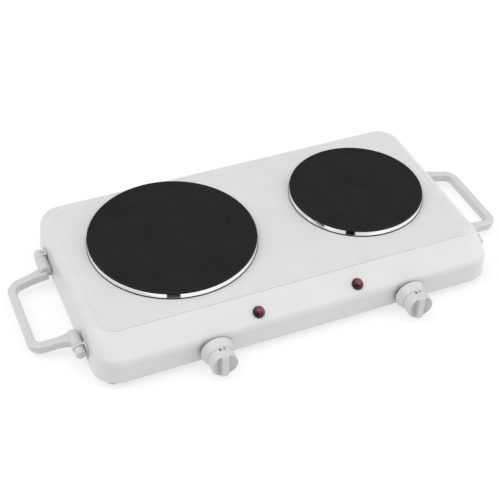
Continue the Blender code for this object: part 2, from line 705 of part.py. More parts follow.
def build_wires(b):
    """Sleeved leads; live ones run under the heat shield, the others above it."""
    radius, clear = 1.3, 0.6
    block_y = TERMINAL_BLOCK_Y - clear
    rear = THERMOSTAT_Y + THERMOSTAT[1] + clear
    for side, size, sign in (("left", "large", -1), ("right", "small", 1)):
        knob_x = KNOBS[side]
        plate_x, plate_r = PLATES[size]
        front_face = terminal_y(plate_r) - TERMINAL_D / 2 - clear
        rear_face = terminal_y(plate_r) + TERMINAL_D / 2 + clear
        live_x, neutral_x = GLAND_X + sign * 13, GLAND_X + sign * 6
        live = [(live_x, block_y, 13), (live_x, block_y - 8, 13),
                (knob_x - sign * 60, 0, 12), (knob_x, -72, 13.5), (knob_x, rear + 6, 15),
                (knob_x, rear, 15)]
        heater = [(knob_x + 8, rear, 29), (knob_x + 8, rear + 8, 29),
                  (plate_x + 7, front_face - 8, 40), (plate_x + 7, front_face, 40)]
        neutral = [(neutral_x, block_y, 20), (neutral_x, block_y - 6, 21),
                   (plate_x - sign * 50, 50, 24), (plate_x - sign * 18, -10, 25),
                   (plate_x - 7, rear_face + 8, 40), (plate_x - 7, rear_face, 40)]
        for name, knots in (("live", live), ("heater", heater), ("neutral", neutral)):
            b.tube(f"{side}_{name}_wire", smooth_route(knots, 3), radius, "wire", sides=1)


def main():
    for item in list(bpy.data.objects):
        bpy.data.objects.remove(item, do_unlink=True)
    b = Builder()
    build_housing(b)
    build_base(b)
    build_feet(b)
    for size in PLATES:
        build_plate(b, size)
    for side in ("left", "right"):
        build_knob(b, side)
        build_thermostat(b, side)
        build_lamp(b, side)
    build_handle(b, "left", -1)
    build_handle(b, "right", 1)
    build_gland(b)
    build_terminal_block(b)
    build_wires(b)


main()
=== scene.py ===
"""Looks for the two-plate electric hot plate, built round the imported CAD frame.

The frame gives where everything is: each place below is read from a CAD node's box or a joint.
Pieces are drawn in millimetres on the frame's axes, with X along the long side, Y to the rear and
Z up from the table, and MM turns them into metres.
"""

import json
from math import atan2, cos, pi, radians, sin, sqrt, tan

import bmesh
import bpy
from mathutils import Matrix, Vector


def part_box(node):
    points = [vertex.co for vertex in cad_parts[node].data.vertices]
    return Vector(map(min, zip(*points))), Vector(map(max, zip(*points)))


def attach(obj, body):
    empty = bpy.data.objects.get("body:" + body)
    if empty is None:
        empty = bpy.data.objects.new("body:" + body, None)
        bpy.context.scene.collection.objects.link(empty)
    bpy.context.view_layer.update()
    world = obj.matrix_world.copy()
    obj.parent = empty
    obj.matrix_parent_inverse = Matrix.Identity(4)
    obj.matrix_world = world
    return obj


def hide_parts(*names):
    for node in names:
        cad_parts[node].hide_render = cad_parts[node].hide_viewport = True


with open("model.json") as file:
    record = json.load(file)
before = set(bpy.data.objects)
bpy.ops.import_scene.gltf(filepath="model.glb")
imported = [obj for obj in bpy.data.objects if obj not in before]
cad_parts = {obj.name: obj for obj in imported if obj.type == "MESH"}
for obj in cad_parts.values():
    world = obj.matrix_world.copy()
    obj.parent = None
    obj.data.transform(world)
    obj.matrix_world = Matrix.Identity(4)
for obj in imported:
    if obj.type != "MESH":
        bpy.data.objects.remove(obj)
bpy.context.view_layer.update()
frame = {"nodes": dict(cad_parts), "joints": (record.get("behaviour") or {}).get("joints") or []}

MM = 0.001
GAP = 0.3  # clearance between pieces that sit against each other

# the view: the camera looks at AIM from DISTANCE away
AIM = (-33.0, -32.6, 63.0)
DISTANCE = 1204.0
AZIMUTH, ELEVATION, ROLL = radians(-24.58), radians(41.85), radians(2.15)
SENSOR, LENS = 36.0, 80.5

# the housing's shape between its box's limits
CORNER_R = 27.0
SHEET = 1.0  # thickness of its steel
FLANGE_W, FLANGE_CORNER_R, FLANGE_BEND = 10.0, 52.0, 1.4
DECK_STEP = 1.5
SIDE_BEND, SIDE_LEAN = 12.0, 3.0
FRONT_WALL_TOP, FRONT_BEND, STRIP_SLOPE = 28.6, 10.0, radians(35.0)
STEP_RUN = (3.0, 4.4)  # foot and shoulder of the deck's step, scaled to the border's width
STEP_FOOT_R, STEP_SHOULDER_R = 0.3, 2.2
FRONT_RUN, SIDE_RUN, REAR_RUN = 1.8, 5.0, 9.0  # the border's width, out to the shoulder
LAMP_INSET = 11.8  # front wall to a lamp's middle, along Y
LAMP_HOLE_R, SHAFT_HOLE_R, SCREW_HOLE_R, FOOT_HOLE_R, GLAND_HOLE_R = 5.2, 5.4, 2.0, 2.5, 6.8
SCREW_OUT = 11.0  # knob axis to a thermostat screw
PLATE_HOLE_IN = 12.0  # plate rim to the edge of the hole below it
PUNCH = 3.0  # how far a hole's tool reaches past the sheet

# the bottom sheet's vents, two rows of slots under each plate
SLOTS, SLOT_PITCH, SLOT_ROW_OUT = 7, 11.0, 34.0
SLOT_HALF_W, SLOT_HALF_L = 1.8, 20.0


# ---------------- places read from the frame

def box(node):
    """Lowest and highest corner of a CAD node, in millimetres."""
    low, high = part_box(node)
    return low / MM, high / MM


def middle(node):
    low, high = box(node)
    return (low + high) / 2


def below(node):
    """The place on the table under a node's middle."""
    return Matrix.Translation((*middle(node).xy, 0))


HOUSING_LOW, HOUSING_HIGH = box("top_housing")
BORDER_Z = HOUSING_HIGH.z - DECK_STEP
FRONT_WALL, REAR_WALL = HOUSING_LOW.y, HOUSING_HIGH.y
SIDES = {"left": -1, "right": 1}
SIZES = ("large", "small")
CORNERS = tuple(f"{row}_{side}" for row in ("front", "rear") for side in SIDES)


# ---------------- outlines

def rounded_rect(x0, x1, y0, y1, radius, steps):
    """Points of a rounded rectangle, anticlockwise from its right side."""
    points = []
    for x, y, start in ((x1, y1, 0), (x0, y1, 90), (x0, y0, 180), (x1, y0, 270)):
        cx = x - radius if x == x1 else x + radius
        cy = y - radius if y == y1 else y + radius
        for i in range(steps + 1):
            angle = radians(start + 90.0 * i / steps)
            points.append((cx + radius * cos(angle), cy + radius * sin(angle)))
    return points


def filleted(corners, steps=5, closed=False):
    """(x, y, radius) corners as points, each corner with a radius turned into an arc."""
    points = []
    for i, (x, y, radius) in enumerate(corners):
        corner = Vector((x, y))
        if not radius or (not closed and i in (0, len(corners) - 1)):
            points.append(corner)
            continue
        before = (Vector(corners[i - 1][:2]) - corner).normalized()
        after = (Vector(corners[(i + 1) % len(corners)][:2]) - corner).normalized()
        half = before.angle(after) / 2
        reach = radius / tan(half)
        centre = corner + (before + after).normalized() * radius / sin(half)
        start, end = corner + before * reach - centre, corner + after * reach - centre
        turn = atan2(start.x * end.y - start.y * end.x, start.dot(end))
        for k in range(steps + 1):
            c, s = cos(turn * k / steps), sin(turn * k / steps)
            points.append(centre + Vector((start.x * c - start.y * s, start.x * s + start.y * c)))
    return points


# ---------------- bodies

def join_rings(bm, rings):
    """Four-sided faces between rings that all have the same number of points."""
    for lower, upper in zip(rings, rings[1:]):
        for i in range(len(lower)):
            j = (i + 1) % len(lower)
            bm.faces.new((lower[i], lower[j], upper[j], upper[i]))


def add_face(bm, points):
    """A face through the points that differ, where there are three or more."""
    face = list(dict.fromkeys(points))
    if len(face) > 2:
        bm.faces.new(face)


def loft(loops, cap_first=True):
    """A skin through closed loops that all have the same number of points."""
    bm = bmesh.new()
    rings = [[bm.verts.new(point) for point in loop] for loop in loops]
    join_rings(bm, rings)
    if cap_first:
        bm.faces.new(rings[0][::-1])
    bm.faces.new(rings[-1])
    return bm


def prism(outline, low, high):
    """An (x, y) outline extruded upwards."""
    return loft([[(x, y, z) for x, y in outline] for z in (low, high)])


def slab(outline, start, end):
    """An (x, z) outline extruded along Y."""
    return loft([[(x, y, z) for x, z in outline] for y in sorted((start, end))])


def block(x0, x1, y0, y1, z0, z1):
    return prism([(x0, y0), (x1, y0), (x1, y1), (x0, y1)], z0, z1)


def turned(profile, steps, closed=False):
    """A solid of revolution about Z from (radius, height) points."""
    bm = bmesh.new()
    rings = []
    for radius, height in profile:
        if radius < 1e-6:
            rings.append([bm.verts.new((0, 0, height))])
        else:
            rings.append([bm.verts.new((radius * cos(2 * pi * i / steps),
                                        radius * sin(2 * pi * i / steps), height))
                          for i in range(steps)])
    pairs = list(zip(rings, rings[1:])) + ([(rings[-1], rings[0])] if closed else [])
    for lower, upper in pairs:
        for i in range(steps):
            j = (i + 1) % steps
            add_face(bm, (lower[i % len(lower)], lower[j % len(lower)],
                          upper[j % len(upper)], upper[i % len(upper)]))
    return bm


def rod(start, end, radius, steps=32):
    """A plain cylinder between two points."""
    start, end = Vector(start), Vector(end)
    length = (end - start).length
    bm = turned([(0, 0), (radius, 0), (radius, length), (0, length)], steps)
    turn = (end - start).to_track_quat("Z", "Y").to_matrix().to_4x4()
    return moved(bm, Matrix.Translation(start) @ turn)


def moved(bm, matrix):
    bmesh.ops.transform(bm, matrix=matrix, verts=bm.verts)
    return bm


def merged(parts):
    """Several bodies as one bmesh."""
    whole = bmesh.new()
    for part in parts:
        mesh = bpy.data.meshes.new("part")
        part.to_mesh(mesh)
        part.free()
        whole.from_mesh(mesh)
        bpy.data.meshes.remove(mesh)
    return whole


def make_object(name, bm, place=Matrix()):
    """Puts a bmesh in millimetres in its place, as a linked object in metres."""
    moved(bm, place)
    bmesh.ops.scale(bm, vec=(MM, MM, MM), verts=bm.verts)
    bmesh.ops.recalc_face_normals(bm, faces=bm.faces)
    mesh = bpy.data.meshes.new(name)
    bm.to_mesh(mesh)
    bm.free()
    item = bpy.data.objects.new(name, mesh)
    bpy.context.scene.collection.objects.link(item)
    return item


def modify(item, kind, **settings):
    """Works one modifier into an object's mesh."""
    modifier = item.modifiers.new(kind, kind)
    for key, value in settings.items():
        setattr(modifier, key, value)
    graph = bpy.context.evaluated_depsgraph_get()
    mesh = bpy.data.meshes.new_from_object(item.evaluated_get(graph))
    old = item.data
    item.modifiers.clear()
    item.data = mesh
    bpy.data.meshes.remove(old)


def cut(item, *shapes):
    """Cuts shapes drawn in millimetres out of an object."""
    tool = make_object("cutter", merged(shapes))
    modify(item, "BOOLEAN", operation="DIFFERENCE", object=tool, solver="EXACT")
    bpy.data.objects.remove(tool)


def smooth(item, angle=35.0):
    """Smooth shading with sharp creases, and normals that keep flat faces flat."""
    item.data.shade_smooth()
    item.data.set_sharp_from_angle(angle=radians(angle))
    modify(item, "WEIGHTED_NORMAL", keep_sharp=True)


def lathe(name, profile, steps, place, crease, closed=True):
    """A turned object, smooth apart from its sharp creases."""
    item = make_object(name, turned(profile, steps, closed), place)
    smooth(item, crease)
    return item


def soften(item, width, segments, angle=35.0):
    """Rounds the edges of a hard-edged object."""
    modify(item, "BEVEL", width=width * MM, segments=segments, limit_method="ANGLE",
           angle_limit=radians(angle), use_clamp_overlap=True)


def moulded(name, shapes, voxel, passes):
    """Overlapping bodies fused and melted together, as a plastic moulding's corners are."""
    item = make_object(name, merged(shapes))
    modify(item, "REMESH", mode="VOXEL", voxel_size=voxel * MM)
    modify(item, "SMOOTH", factor=0.5, iterations=passes)
    item.data.shade_smooth()
    return item


def settle(item, finish, body, slot, *nodes):
    """Gives a piece its material and its body, and hides the CAD nodes it stands for. The slot is
    not used.
    """
    item.data.materials.clear()
    item.data.materials.append(finish)
    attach(item, body)
    if nodes:
        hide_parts(*nodes)


# ---------------- materials

TURNING_PITCH = 0.9  # between the lathe's marks on a plate
LENS_HIGHLIGHT_SPOT = (0.7, -1.4, 0.0)  # middle of the painted highlight, from the middle of the lens


class Nodes:
    """Makes and joins the nodes of one tree."""

    def __init__(self, tree):
        self.tree = tree

    def node(self, kind, **values):
        made = self.tree.nodes.new(kind)
        for key, value in values.items():
            setattr(made, key, value)
        return made

    def join(self, output, socket):
        self.tree.links.new(output, socket)

    def maths(self, operation, a, b=0.0):
        made = self.node("ShaderNodeMath", operation=operation)
        for socket, value in zip(made.inputs, (a, b)):
            if isinstance(value, (int, float)):
                socket.default_value = value
            else:
                self.join(value, socket)
        return made.outputs["Value"]

    def times(self, a, b):
        return self.maths("MULTIPLY", a, b)


class Finish(Nodes):
    """A procedural material: a Principled shader, and textures measured in millimetres."""

    def __init__(self, name, roughness, metallic=0.0, **sockets):
        self.material = bpy.data.materials.new(name)
        self.material.use_nodes = True
        super().__init__(self.material.node_tree)
        self.shader = self.tree.nodes["Principled BSDF"]
        self.shader.inputs["Roughness"].default_value = roughness
        self.shader.inputs["Metallic"].default_value = metallic
        for socket, value in sockets.items():
            self.shader.inputs[socket.replace("_", " ")].default_value = value
        scaled = self.node("ShaderNodeMapping")
        scaled.inputs["Scale"].default_value = (1 / MM,) * 3
        self.join(self.node("ShaderNodeTexCoord").outputs["Object"], scaled.inputs["Vector"])
        self.place = scaled.outputs["Vector"]
        self.height = None

    def noise(self, size, detail=3.0, place=None, roughness=0.55):
        """Cloudy noise with features of about this size."""
        made = self.node("ShaderNodeTexNoise")
        made.inputs["Scale"].default_value = 1 / size
        made.inputs["Detail"].default_value = detail
        made.inputs["Roughness"].default_value = roughness
        self.join(place or self.place, made.inputs["Vector"])
        return made.outputs["Fac"]

    def cells(self, size):
        """A random colour for each cell."""
        made = self.node("ShaderNodeTexVoronoi")
        made.inputs["Scale"].default_value = 1 / size
        self.join(self.place, made.inputs["Vector"])
        return made.outputs["Color"]

    def spread(self, fac, low=0.0, high=1.0, start=0.3, end=0.7):
        """A factor between start and end, mapped to low and high."""
        made = self.node("ShaderNodeMapRange")
        for name, value in (("From Min", start), ("From Max", end), ("To Min", low),
                            ("To Max", high)):
            made.inputs[name].default_value = value
        self.join(fac, made.inputs["Value"])
        return made.outputs["Result"]

    def mix(self, fac, first, second):
        """A colour between two, each a colour or another node's output."""
        made = self.node("ShaderNodeMix", data_type="RGBA")
        self.join(fac, made.inputs["Factor"])
        for socket, value in ((made.inputs[6], first), (made.inputs[7], second)):
            if isinstance(value, tuple):
                socket.default_value = (*value, 1.0)
            else:
                self.join(value, socket)
        return made.outputs[2]

    def colour(self, output):
        self.join(output, self.shader.inputs["Base Color"])

    def rough(self, output):
        self.join(output, self.shader.inputs["Roughness"])

    def relief(self, output, depth):
        """Adds a height texture, depth in millimetres from its lowest to its highest."""
        scaled = self.times(output, depth)
        self.height = scaled if self.height is None else self.maths("ADD", self.height, scaled)

    def done(self):
        """The finished material, with its heights as a bump."""
        if self.height is not None:
            bump = self.node("ShaderNodeBump")
            bump.inputs["Strength"].default_value = 1.0
            bump.inputs["Distance"].default_value = MM
            self.join(self.height, bump.inputs["Height"])
            self.join(bump.outputs["Normal"], self.shader.inputs["Normal"])
        return self.material

    def around(self, centre):
        """Angle, distance and height about an upright axis through centre."""
        parts = self.node("ShaderNodeSeparateXYZ")
        self.join(self.place, parts.inputs["Vector"])
        dx = self.maths("SUBTRACT", parts.outputs["X"], centre.x)
        dy = self.maths("SUBTRACT", parts.outputs["Y"], centre.y)
        far = self.maths("SQRT", self.maths("ADD", self.times(dx, dx), self.times(dy, dy)))
        return self.maths("ARCTAN2", dy, dx), far, parts.outputs["Z"]

    def vector(self, x, y, z):
        made = self.node("ShaderNodeCombineXYZ")
        for socket, value in zip(made.inputs, (x, y, z)):
            self.join(value, socket)
        return made.outputs["Vector"]


def shade(colour, factor):
    """A colour made darker or paler."""
    return tuple(min(1.0, channel * factor) for channel in colour)


def drift(f, noise, colour, share):
    """Colours a finish from a little darker to a little paler, by a noise."""
    f.colour(f.mix(f.spread(noise), shade(colour, 1 - share), shade(colour, 1 + share)))


def painted(name, colour, roughness, peel=0.012, coat=0.0):
    """Enamel or moulded plastic: faint orange peel, slow colour drift, uneven gloss."""
    f = Finish(name, roughness, Coat_Weight=coat, Coat_Roughness=0.2)
    drift(f, f.noise(38.0, 2.0), colour, 0.02)
    f.rough(f.spread(f.noise(9.0, 4.0), roughness - 0.05, roughness + 0.06))
    f.relief(f.noise(1.1, 2.0), peel)
    f.relief(f.noise(0.25, 2.0), peel * 0.25)
    return f.done()


def cast_iron(name, centre, radius):
    """Matt black coated iron: fine grain, turning marks and a paler worn rim."""
    f = Finish(name, 0.6, IOR=1.45, Specular_IOR_Level=0.2)
    _, far, _ = f.around(centre)
    grain = f.noise(0.7, 5.0, roughness=0.7)
    cloud = f.noise(26.0, 3.0)
    dark = f.mix(f.spread(cloud), (0.0078, 0.0078, 0.0078), (0.0115, 0.0113, 0.0112))
    speck = f.mix(f.spread(grain, 0.0, 1.0, 0.55, 0.8), dark, (0.024, 0.0235, 0.023))
    worn = f.times(f.spread(far, 0.0, 0.6, radius - 2.2, radius - 0.4),
                   f.spread(f.noise(3.0, 4.0), 0.0, 1.0, 0.4, 0.65))
    f.colour(f.mix(worn, speck, (0.026, 0.025, 0.024)))
    f.rough(f.spread(f.noise(4.0, 5.0), 0.52, 0.72))
    turning = f.maths("SINE", f.times(far, 2 * pi / TURNING_PITCH))
    patchy = f.times(turning, f.noise(12.0, 2.0))
    f.relief(patchy, 0.006)
    f.relief(grain, 0.05)
    return f.done()


def spun_steel(name, centre):
    """Polished stainless ring with fine marks that run round it."""
    f = Finish(name, 0.08, 1.0)
    angle, far, height = f.around(centre)
    sweep = f.vector(f.times(angle, 2.0), f.times(far, 6.0), f.times(height, 6.0))
    marks = f.noise(1.0, 4.0, sweep)
    f.colour(f.mix(f.spread(marks), (0.88, 0.88, 0.88), (0.97, 0.97, 0.965)))
    f.rough(f.spread(marks, 0.04, 0.10))
    f.relief(marks, 0.003)
    return f.done()


def zinc_steel(name, colour, roughness, size=6.0):
    """Zinc-coated sheet: a crystal spangle and rolling marks."""
    f = Finish(name, roughness, 1.0)
    tone = f.node("ShaderNodeRGBToBW")
    f.join(f.cells(size), tone.inputs["Color"])
    grey = f.maths("ADD", f.times(tone.outputs["Val"], 0.7), f.times(f.noise(2.0, 4.0), 0.3))
    f.colour(f.mix(f.spread(grey, 0.0, 1.0, 0.1, 0.9), shade(colour, 0.8), shade(colour, 1.15)))
    f.rough(f.spread(grey, roughness - 0.1, roughness + 0.12, 0.1, 0.9))
    f.relief(f.noise(0.5, 4.0), 0.008)
    return f.done()


def rough_moulding(name, colour, roughness, size, depth):
    """Rubber, ceramic, dull plastic, and the dark rings that are painted shade: grain at one size
    and a slow change of tone.
    """
    f = Finish(name, roughness)
    drift(f, f.noise(size * 12), colour, 0.08)
    f.rough(f.spread(f.noise(size * 3, 4.0), roughness - 0.08, roughness + 0.1))
    f.relief(f.noise(size, 5.0, roughness=0.65), depth)
    return f.done()


def woven_sleeve(name, colour):
    """Braided glass sleeve: two crossing sets of strands."""
    f = Finish(name, 0.75, Sheen_Weight=0.2)
    strands = []
    for tilt in (-40.0, 40.0):
        turned_place = f.node("ShaderNodeMapping")
        turned_place.inputs["Rotation"].default_value = (radians(tilt), radians(tilt), 0.6)
        f.join(f.place, turned_place.inputs["Vector"])
        wave = f.node("ShaderNodeTexWave")
        wave.inputs["Scale"].default_value = 0.8
        wave.inputs["Distortion"].default_value = 1.0
        f.join(turned_place.outputs["Vector"], wave.inputs["Vector"])
        strands.append(wave.outputs["Fac"])
    weave = f.maths("MAXIMUM", *strands)
    f.colour(f.mix(weave, shade(colour, 0.6), shade(colour, 1.15)))
    f.relief(weave, 0.08)
    return f.done()


def scaled_coil(name, colour):
    """Resistance wire, blued and scaled by heat."""
    f = Finish(name, 0.5, 0.85)
    heat = f.noise(7.0, 4.0)
    f.colour(f.mix(f.spread(heat), colour, (0.12, 0.11, 0.16)))
    f.rough(f.spread(f.noise(1.2, 4.0), 0.4, 0.75))
    f.relief(f.noise(0.4, 4.0), 0.03)
    return f.done()


def jewel(name, spot):
    """Deep red lens plastic, with a paler core round a spot off its middle: a painted highlight,
    not a lit lamp.
    """
    f = Finish(name, 0.06, IOR=1.46, Specular_IOR_Level=0.35)
    _, far, _ = f.around(spot + Vector(LENS_HIGHLIGHT_SPOT))
    # painted highlight: pale pink near the spot, turning deep red further out
    painted_highlight = f.maths("ADD", far, f.times(f.noise(1.6, 2.0), 2.4))
    f.colour(f.mix(f.spread(painted_highlight, 0.0, 1.0, 3.2, 5.8), (0.25, 0.038, 0.074),
                   (0.022, 0.003, 0.006)))
    f.rough(f.spread(f.noise(0.8, 3.0), 0.05, 0.16))
    return f.done()


def printed_ink(name):
    """Worn black ink."""
    f = Finish(name, 0.5)
    f.colour(f.mix(f.spread(f.noise(0.3, 3.0)), (0.05, 0.05, 0.055), (0.09, 0.09, 0.1)))
    f.rough(f.spread(f.noise(0.5, 3.0), 0.42, 0.6))
    return f.done()


WHITE_ENAMEL = painted("white_enamel", (0.645, 0.645, 0.642), 0.34, coat=0.15)
WHITE_PLASTIC = painted("white_plastic", (0.575, 0.575, 0.572), 0.36, peel=0.006)
ZINC = zinc_steel("zinc_steel", (0.56, 0.57, 0.59), 0.42)
BRIGHT_SHEET = zinc_steel("bright_sheet", (0.70, 0.70, 0.70), 0.25, size=14.0)
RUBBER = rough_moulding("foot_rubber", (0.50, 0.50, 0.49), 0.72, 0.5, 0.03)
CERAMIC = rough_moulding("ceramic", (0.74, 0.70, 0.62), 0.55, 0.35, 0.04)
DARK_PLASTIC = rough_moulding("dark_plastic", (0.035, 0.035, 0.038), 0.5, 0.3, 0.012)
# painted shade: a dark ring behind each knob's skirt standing in for the gap's shadow
SHADOW_RING_GREY = rough_moulding("skirt_shadow_grey", (0.09, 0.09, 0.09), 0.9, 0.25, 0.05)
# painted shade: a black strip standing in for the shadow line under each trim ring
SHADOW_STRIP_BLACK = rough_moulding("ring_shadow_strip", (0.012, 0.012, 0.013), 0.7, 0.3, 0.01)
SLEEVE = woven_sleeve("wire_sleeve", (0.55, 0.53, 0.47))
COIL = scaled_coil("heater_coil", (0.30, 0.22, 0.17))
INK = printed_ink("dial_ink")


# ---------------- housing

BEND_TURN = pi / 2 - STRIP_SLOPE  # the bend from the front wall to the control strip
BEND_TOP = FRONT_WALL_TOP + FRONT_BEND * sin(BEND_TURN)
BEND_DEPTH = FRONT_BEND * (1 - cos(BEND_TURN))


def front_inset(z):
    """How far the front surface lies behind the front wall at height z."""
    if z <= FRONT_WALL_TOP:
        return 0.0
    if z <= BEND_TOP:
        return FRONT_BEND - sqrt(FRONT_BEND ** 2 - (z - FRONT_WALL_TOP) ** 2)
    return BEND_DEPTH + (z - BEND_TOP) / tan(STRIP_SLOPE)


def side_inset(z):
    """How far the rounded shoulder has turned in at height z."""
    rise = z - (BORDER_Z - SIDE_BEND)
    return 0.0 if rise <= 0 else SIDE_BEND - sqrt(max(0.0, SIDE_BEND ** 2 - rise ** 2))


def end_lean(z):
    """How far the end walls have leaned in at height z."""
    share = (z - HOUSING_LOW.z) / (BORDER_Z - SIDE_BEND - HOUSING_LOW.z)
    return SIDE_LEAN * min(share, 1.0)


def housing_loop(z, front, side, rear, radius):
    """The housing's outline at height z, set in by so much at each side."""
    outline = rounded_rect(HOUSING_LOW.x + side, HOUSING_HIGH.x - side,
                           FRONT_WALL + front, REAR_WALL - rear, radius, 16)
    return [(x, y, z) for x, y in outline]


def wall_loops():
    """Level loops from the flange's inner edge, up the walls and over to the border."""
    low = HOUSING_LOW.z
    loops = [housing_loop(low, FLANGE_W, FLANGE_W, FLANGE_W, FLANGE_CORNER_R)]
    for i in range(5):
        angle = pi / 2 * i / 4
        inset = FLANGE_BEND * (1 - sin(angle))
        loops.append(housing_loop(low + FLANGE_BEND * (1 - cos(angle)), inset, inset, inset,
                                  CORNER_R - inset))
    heights = [FRONT_WALL_TOP + FRONT_BEND * sin(BEND_TURN * i / 8) for i in range(9)]
    heights += [BORDER_Z - SIDE_BEND + SIDE_BEND * sin(pi / 2 * i / 12) for i in range(13)]
    for z in heights:
        rear = side_inset(z)
        loops.append(housing_loop(z, front_inset(z), rear + end_lean(z), rear, CORNER_R - rear))
    return loops


def step_loops():
    """The deck's step: a tight inner corner, a short slope and a round shoulder."""
    front, side, rear = front_inset(BORDER_Z), SIDE_BEND + SIDE_LEAN, SIDE_BEND
    radius = CORNER_R - SIDE_BEND
    foot, shoulder = STEP_RUN
    step = filleted([(0.0, 0.0, 0), (foot, 0.0, STEP_FOOT_R),
                     (shoulder, DECK_STEP, STEP_SHOULDER_R), (shoulder + 4, DECK_STEP, 0)])
    loops = []
    for run, rise in step[1:-1]:
        share = run / shoulder
        loops.append(housing_loop(BORDER_Z + rise, front + FRONT_RUN * share,
                                  side + SIDE_RUN * share, rear + REAR_RUN * share,
                                  radius - 2 * share))
    return loops


def lamp_frame(side):
    """Places Z along the control strip's outward normal, at the middle of one lamp's foot."""
    low, high = box(f"{side}_lamp_holder")
    x = (low.x + high.x) / 2
    z = BEND_TOP + (LAMP_INSET - BEND_DEPTH) * tan(STRIP_SLOPE)
    return (Matrix.Translation((x, FRONT_WALL + LAMP_INSET, z))
            @ Matrix.Rotation(STRIP_SLOPE, 4, "X"))


def upright_hole(spot, low, high, radius, steps=24):
    return rod((spot.x, spot.y, low), (spot.x, spot.y, high), radius, steps)


def wall_hole(x, wall, z, radius, steps=32):
    return rod((x, wall - PUNCH, z), (x, wall + PUNCH, z), radius, steps)


def housing_holes():
    holes = []
    for size in SIZES:
        low, high = box(f"{size}_plate")
        radius = (high.x - low.x) / 2 - PLATE_HOLE_IN
        holes.append(upright_hole((low + high) / 2, BORDER_Z - 2 * PUNCH,
                                  HOUSING_HIGH.z + PUNCH, radius, 96))
    for side in SIDES:
        knob = middle(f"{side}_knob")
        holes.append(wall_hole(knob.x, FRONT_WALL, knob.z, SHAFT_HOLE_R, 24))
        for dx in (-SCREW_OUT, SCREW_OUT):
            holes.append(wall_hole(knob.x + dx, FRONT_WALL, knob.z, SCREW_HOLE_R, 24))
        holes.append(moved(rod((0, 0, -4), (0, 0, 4), LAMP_HOLE_R), lamp_frame(side)))
    for corner in CORNERS:
        holes.append(upright_hole(middle(f"{corner}_foot_screw"), HOUSING_LOW.z - 2,
                                  HOUSING_LOW.z + PUNCH, FOOT_HOLE_R))
    gland = middle("cord_gland")
    return holes + [wall_hole(gland.x, REAR_WALL, gland.z, GLAND_HOLE_R)]


def make_housing():
    """White pressed-steel top: walls, control strip, border and raised deck."""
    skin = loft(wall_loops() + step_loops(), cap_first=False)
    housing = make_object("housing_shell", skin)
    modify(housing, "SOLIDIFY", thickness=SHEET * MM, offset=-1.0, use_even_offset=True)
    cut(housing, *housing_holes())
    smooth(housing)
    settle(housing, WHITE_ENAMEL, "housing", "white_enamel", "top_housing")


def make_base():
    """Zinc-coated bottom sheet with rows of rounded vent slots."""
    low, high = box("base_plate")
    outline = rounded_rect(low.x, high.x, low.y, high.y, CORNER_R - 1.5, 12)
    base = make_object("bottom_sheet", prism(outline, low.z, high.z))
    holes = []
    for corner in CORNERS:
        holes.append(upright_hole(middle(f"{corner}_foot_screw"), low.z - 2, high.z + 2,
                                  FOOT_HOLE_R))
    for size in SIZES:
        plate = middle(f"{size}_plate")
        for row in (-1, 1):
            for i in range(SLOTS):
                x = plate.x + (i - SLOTS // 2) * SLOT_PITCH
                y = plate.y + row * SLOT_ROW_OUT
                slot = rounded_rect(x - SLOT_HALF_W, x + SLOT_HALF_W, y - SLOT_HALF_L,
                                    y + SLOT_HALF_L, SLOT_HALF_W - 0.05, 5)
                holes.append(prism(slot, low.z - 2, high.z + 2))
    cut(base, *holes)
    soften(base, width=0.3, segments=2)
    smooth(base)
    settle(base, ZINC, "housing", "zinc_steel", "base_plate")


def make_foot(corner, place):
    """Rubber foot: a collar, a slight taper and a well for the screw's head."""
    tall = box(f"{corner}_foot")[1].z
    profile = filleted([(2.4, tall, 0), (9.0, tall, 0.5), (9.0, tall - 1.2, 0.6),
                        (8.3, tall - 2.2, 0.6), (8.0, 1.0, 0), (7.6, 0.0, 0.5),
                        (4.4, 0.0, 0.4), (4.4, 3.2, 0.3), (2.4, 3.2, 0)], 4, True)
    foot = lathe(f"{corner}_rubber_foot", profile, 48, place, 40)
    settle(foot, RUBBER, "housing", "foot_rubber", f"{corner}_foot")


def make_foot_screw(corner, place):
    """Cross-head screw, its head down in the foot's well."""
    profile = filleted([(0, 0.8, 0), (2.6, 0.8, 0.8), (3.8, 1.7, 0.5), (3.8, 2.9, 0.1),
                        (2.0, 2.9, 0), (2.0, 12.2, 0), (1.4, 13.0, 0), (0, 13.0, 0)])
    screw = make_object(f"{corner}_cross_screw", turned(profile, 32), place)
    for angle in (pi / 4, 3 * pi / 4):
        arm = block(-1.9, 1.9, -0.35, 0.35, 0, 2.0)
        cut(screw, moved(arm, place @ Matrix.Rotation(angle, 4, "Z")))
    smooth(screw)
    settle(screw, ZINC, "housing", "zinc_steel", f"{corner}_foot_screw")


def make_feet():
    for corner in CORNERS:
        place = below(f"{corner}_foot")
        make_foot(corner, place)
        make_foot_screw(corner, place)


# ---------------- plates

PLATE_RIM, RIM_ROUND = 2.6, 1.9  # height and rounding of the overhanging rim
RIM_OUT = 14.0  # how far the rim overhangs the plate's body
GROOVE_DEPTH, BOSS_R = 9.0, 26.0  # the coil's groove below, and the boss in its middle
RING_PAST_RIM, RING_CLEAR = 0.6, 0.6  # ring's edge past the rim, and its bore off the body
RING_LEAN = radians(20.9)  # the ring's bright face, from upright
RING_FOOT = 0.9  # from the ring's lowest point to its outer edge
SHADOW_STRIP_OUT = 0.35  # how far the black strip of painted shade shows past the ring's edge


def plate_size(size):
    """Middle, rim radius and body radius of a plate."""
    low, high = box(f"{size}_plate")
    radius = (high.x - low.x) / 2
    return (low + high) / 2, radius, radius - RIM_OUT


